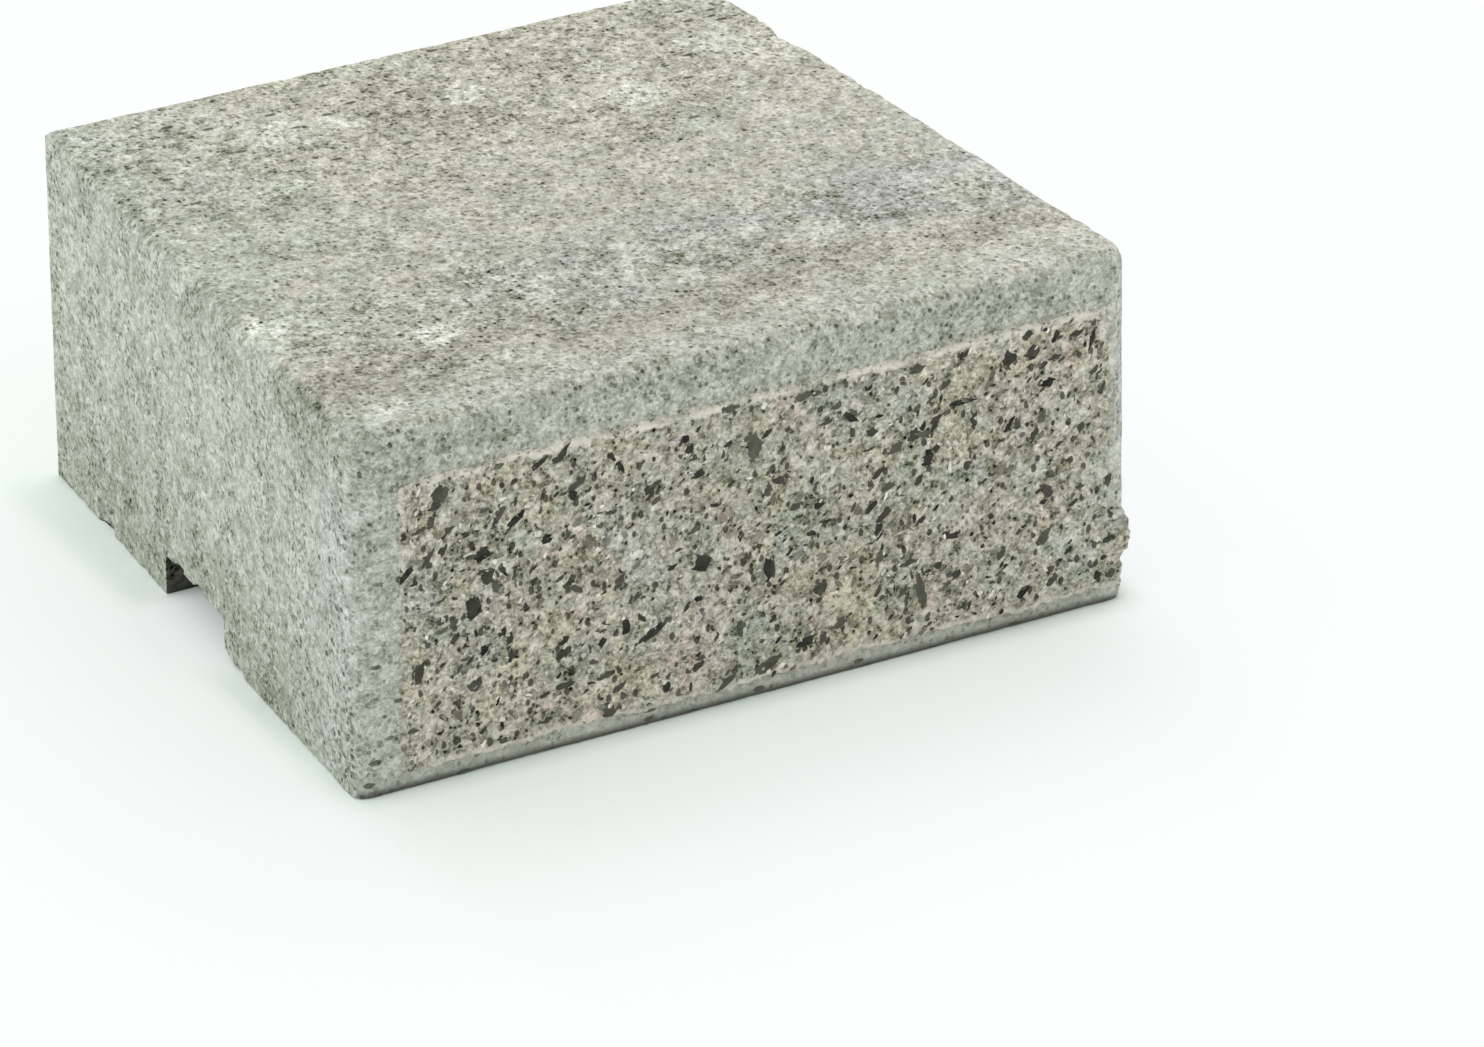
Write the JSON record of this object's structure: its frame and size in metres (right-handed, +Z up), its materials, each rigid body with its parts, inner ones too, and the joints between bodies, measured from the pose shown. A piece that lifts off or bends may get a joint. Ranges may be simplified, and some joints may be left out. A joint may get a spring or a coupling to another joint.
{
  "type": "wall coping stone",
  "caption": "Cast concrete coping stone for a garden wall: a flat block tapering to the back, split face in a rounded moulded margin, keyed groove across the bed.",
  "frame": {"origin": "on the ground under the middle of the stone's bounding box, at the level of the bed it lies on", "axes": "+X along the face, to the right of someone who looks at it; +Y from the split face to the back; +Z up"},
  "size_m": [0.3134, 0.2834, 0.14],
  "materials": {
    "cast_concrete": "matt grey concrete, smooth cast on the top and sides, split with its aggregate showing on the face"
  },
  "bodies": {
    "root": {"coping_stone": "cast_concrete"}
  },
  "joints": []
}
